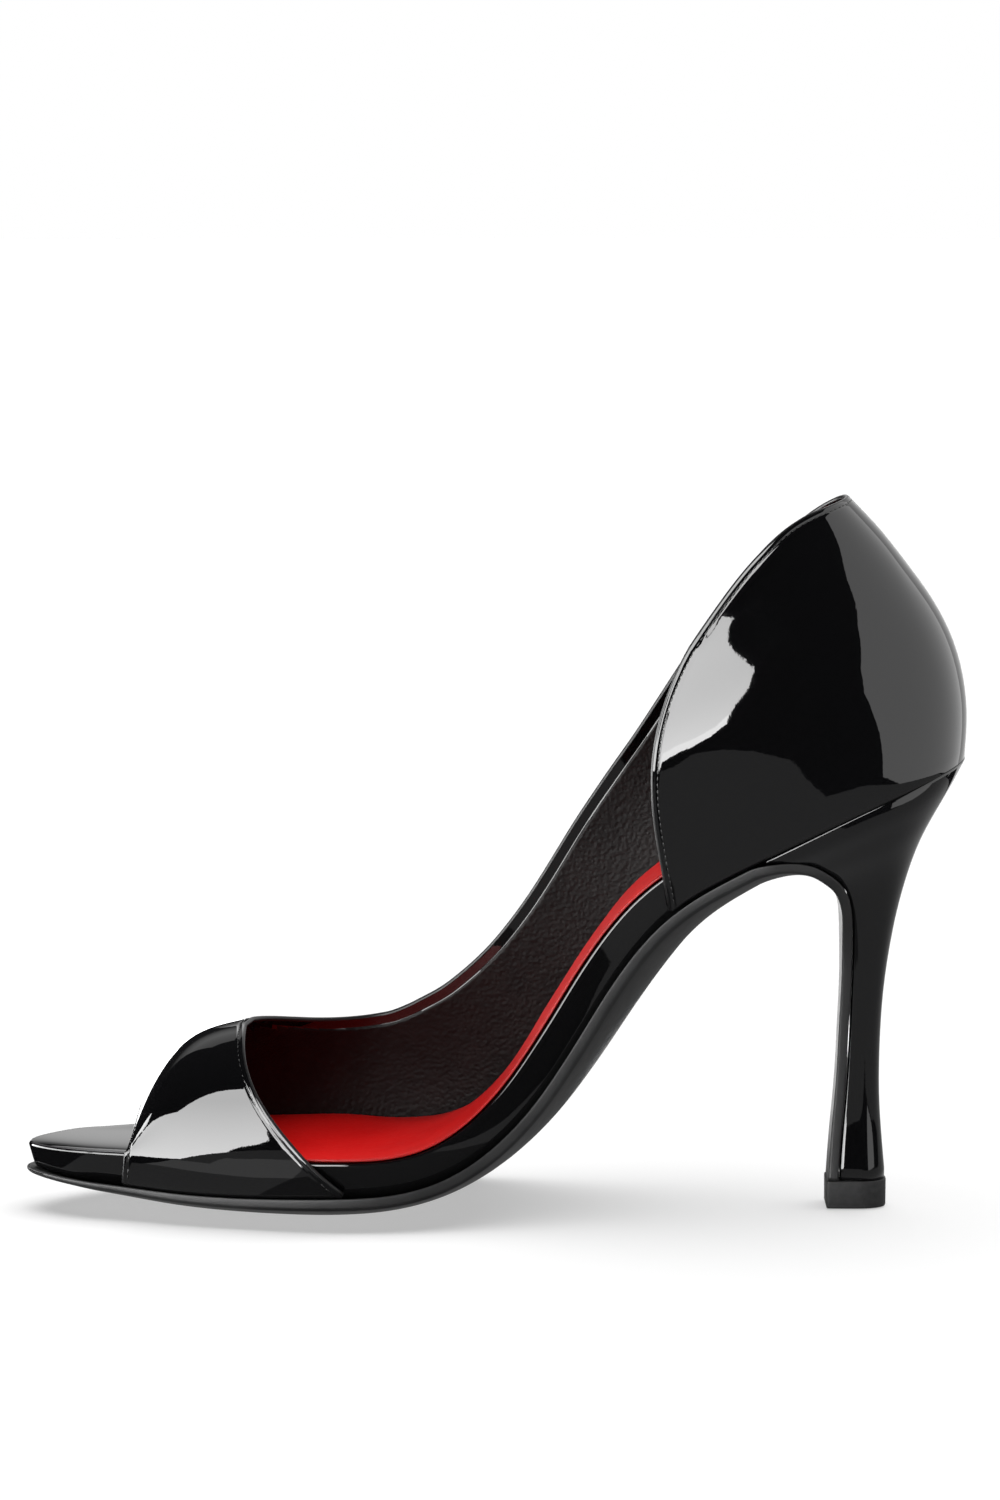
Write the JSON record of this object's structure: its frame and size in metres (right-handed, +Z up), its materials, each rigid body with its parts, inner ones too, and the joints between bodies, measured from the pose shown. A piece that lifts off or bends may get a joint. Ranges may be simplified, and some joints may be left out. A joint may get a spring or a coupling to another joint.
{
  "type": "stiletto pump",
  "caption": "Right-foot stiletto pump with an open toe, its inner side cut away, a tall covered heel and a thin bent leather sole.",
  "frame": {"origin": "on the floor, under the middle of the shoe's box", "axes": "+Z up, -X towards the toe, +X towards the heel, -Y the inner side of the foot"},
  "size_m": [0.2248, 0.0754, 0.171],
  "materials": {
    "patent_leather": "black patent, mirror gloss",
    "wrapped_board": "black patent wrapped over the board's edge",
    "red_leather": "red leather with a soft satin sheen",
    "sole_leather": "dark matte sole leather",
    "covered_heel": "black patent cover, glossy",
    "tip_rubber": "matte hard rubber"
  },
  "bodies": {
    "root": {"upper": "patent_leather", "insole_board": "wrapped_board", "sock_lining": "red_leather", "outsole": "sole_leather", "heel": "covered_heel", "top_piece": "tip_rubber"}
  },
  "joints": []
}
